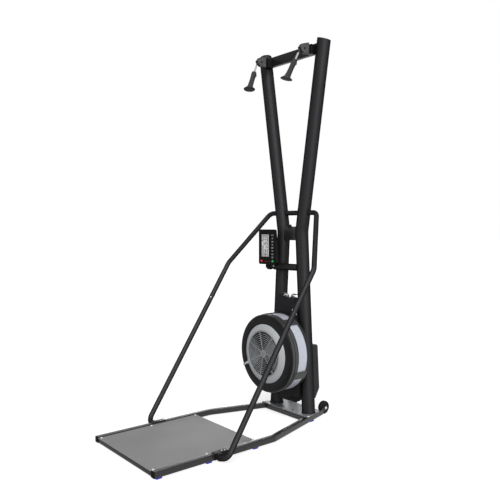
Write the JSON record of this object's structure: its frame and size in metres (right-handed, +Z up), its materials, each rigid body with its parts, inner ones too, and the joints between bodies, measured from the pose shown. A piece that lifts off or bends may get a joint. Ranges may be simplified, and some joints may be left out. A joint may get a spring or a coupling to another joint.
{
  "type": "ski trainer machine",
  "caption": "Standing ski trainer: twin bent tower on a platform base, air fan, two overhead pull handles on cords, wrap-round handrail and tilting console.",
  "frame": {"origin": "middle of the footprint, on the floor", "axes": "+Z up; +Y from the user towards the tower; +X to the user's right"},
  "size_m": [0.7604, 1.2844, 2.1543],
  "materials": {
    "charcoal_paint": "semi-matt powder coat",
    "black_plastic": "moulded, fine grain",
    "platform_grey": "textured grey powder coat",
    "bare_steel": "galvanised",
    "silver": "satin",
    "rubber": "matt",
    "cord": "braided",
    "pale_sleeve": "pale sleeve",
    "screen": "clear window over a grey display",
    "red_key": "satin",
    "green_key": "satin"
  },
  "bodies": {
    "frame": {"floor_rail_right": "charcoal_paint", "upright_right": "charcoal_paint", "handrail_leg_right": "charcoal_paint", "rail_cap_right": "black_plastic", "upright_cap_right": "black_plastic", "handrail_clamp_right": "black_plastic", "head_bracket_right": "black_plastic", "wheel_axle_right": "silver", "drive_cord_right": "cord", "floor_rail_left": "charcoal_paint", "upright_left": "charcoal_paint", "handrail_leg_left": "charcoal_paint", "rail_cap_left": "black_plastic", "upright_cap_left": "black_plastic", "handrail_clamp_left": "black_plastic", "head_bracket_left": "black_plastic", "wheel_axle_left": "silver", "drive_cord_left": "cord", "cross_tube_front": "charcoal_paint", "cross_tube_middle": "charcoal_paint", "cross_tube_rear": "charcoal_paint", "cross_tube_tower": "charcoal_paint", "top_beam": "charcoal_paint", "kink_bracket": "charcoal_paint", "handrail_top": "charcoal_paint", "fan_carrier": "charcoal_paint", "bearing_bridge": "charcoal_paint", "console_bar": "charcoal_paint", "platform_plate": "platform_grey", "tower_base_plate": "bare_steel", "rear_cover": "black_plastic", "fan_front_ring": "black_plastic", "fan_back_shell": "black_plastic", "fan_band": "silver", "fan_grille": "silver", "return_bungee": "cord"},
    "fan": {"fan_rotor": "black_plastic", "fan_shaft": "silver"},
    "damper": {"damper_ring": "silver"},
    "console": {"console_clamp": "black_plastic", "console_housing": "black_plastic", "console_screen": "screen"},
    "red_button": {"button_red": "red_key"},
    "green_button": {"button_green": "green_key"},
    "spool_right": {"cord_spool_right": "black_plastic"},
    "guide_right": {"guide_sheave_right": "silver"},
    "head_right": {"head_housing_right": "charcoal_paint", "head_cord_right": "cord"},
    "pulley_right": {"head_pulley_right": "black_plastic"},
    "handle_right": {"handle_ferrule_right": "pale_sleeve", "handle_grip_right": "rubber"},
    "wheel_right": {"transport_wheel_right": "rubber"},
    "spool_left": {"cord_spool_left": "black_plastic"},
    "guide_left": {"guide_sheave_left": "silver"},
    "head_left": {"head_housing_left": "charcoal_paint", "head_cord_left": "cord"},
    "pulley_left": {"head_pulley_left": "black_plastic"},
    "handle_left": {"handle_ferrule_left": "pale_sleeve", "handle_grip_left": "rubber"},
    "wheel_left": {"transport_wheel_left": "rubber"}
  },
  "joints": [
    {"name": "fan_spin", "type": "hinge", "parent": "frame", "child": "fan", "pos_m": [0, 0.3775, 0.39], "axis": [0, 1, 0], "continuous": true},
    {"name": "damper_turn", "type": "hinge", "parent": "frame", "child": "damper", "pos_m": [0, 0.2425, 0.39], "axis": [0, 1, 0], "range_deg": [-45, 45]},
    {"name": "console_tilt", "type": "hinge", "parent": "frame", "child": "console", "pos_m": [-0.11139, 0.41263, 0.877], "axis": [0.9848, 0.1736, 0], "range_deg": [-12, 25]},
    {"name": "red_press", "type": "slide", "parent": "console", "child": "red_button", "axis": [-0.1736, 0.9848, 0], "range_m": [0, 0.0012], "stiffness_N_per_m": 600, "springref_m": -0.002},
    {"name": "green_press", "type": "slide", "parent": "console", "child": "green_button", "axis": [-0.1736, 0.9848, 0], "range_m": [0, 0.0012], "stiffness_N_per_m": 600, "springref_m": -0.002},
    {"name": "head_swivel_right", "type": "hinge", "parent": "frame", "child": "head_right", "pos_m": [0.18, 0.4075, 2.09], "axis": [0, 0, 1], "range_deg": [-30, 30]},
    {"name": "pull_right", "type": "slide", "parent": "head_right", "child": "handle_right", "axis": [0, -0.4226, -0.9063], "range_m": [0, 1.3], "stiffness_N_per_m": 4, "springref_m": -3},
    {"name": "pulley_spin_right", "type": "hinge", "parent": "head_right", "child": "pulley_right", "pos_m": [0.18, 0.3745, 2.086], "axis": [1, 0, 0], "continuous": true},
    {"name": "guide_spin_right", "type": "hinge", "parent": "frame", "child": "guide_right", "pos_m": [0.03, 0.4485, 0.698], "axis": [0, 1, 0], "continuous": true},
    {"name": "spool_spin_right", "type": "hinge", "parent": "frame", "child": "spool_right", "pos_m": [0, 0.4385, 0.39], "axis": [0, -1, 0], "continuous": true},
    {"name": "wheel_roll_right", "type": "hinge", "parent": "frame", "child": "wheel_right", "pos_m": [0.1274, 0.6045, 0.044], "axis": [1, 0, 0], "continuous": true},
    {"name": "head_swivel_left", "type": "hinge", "parent": "frame", "child": "head_left", "pos_m": [-0.18, 0.4075, 2.09], "axis": [0, 0, 1], "range_deg": [-30, 30]},
    {"name": "pull_left", "type": "slide", "parent": "head_left", "child": "handle_left", "axis": [0, -0.4226, -0.9063], "range_m": [0, 1.3], "stiffness_N_per_m": 4, "springref_m": -3},
    {"name": "pulley_spin_left", "type": "hinge", "parent": "head_left", "child": "pulley_left", "pos_m": [-0.18, 0.3745, 2.086], "axis": [1, 0, 0], "continuous": true},
    {"name": "guide_spin_left", "type": "hinge", "parent": "frame", "child": "guide_left", "pos_m": [-0.03, 0.4485, 0.698], "axis": [0, -1, 0], "continuous": true},
    {"name": "spool_spin_left", "type": "hinge", "parent": "frame", "child": "spool_left", "pos_m": [0, 0.4585, 0.39], "axis": [0, -1, 0], "continuous": true},
    {"name": "wheel_roll_left", "type": "hinge", "parent": "frame", "child": "wheel_left", "pos_m": [-0.1274, 0.6045, 0.044], "axis": [1, 0, 0], "continuous": true}
  ],
  "couplings": [
    {"joint": "pulley_spin_right", "follows": "pull_right", "rad_per_m": 50},
    {"joint": "guide_spin_right", "follows": "pull_right", "rad_per_m": 46.512},
    {"joint": "spool_spin_right", "follows": "pull_right", "rad_per_m": 24.691},
    {"joint": "pulley_spin_left", "follows": "pull_left", "rad_per_m": 50},
    {"joint": "guide_spin_left", "follows": "pull_left", "rad_per_m": 46.512},
    {"joint": "spool_spin_left", "follows": "pull_left", "rad_per_m": 24.691}
  ]
}
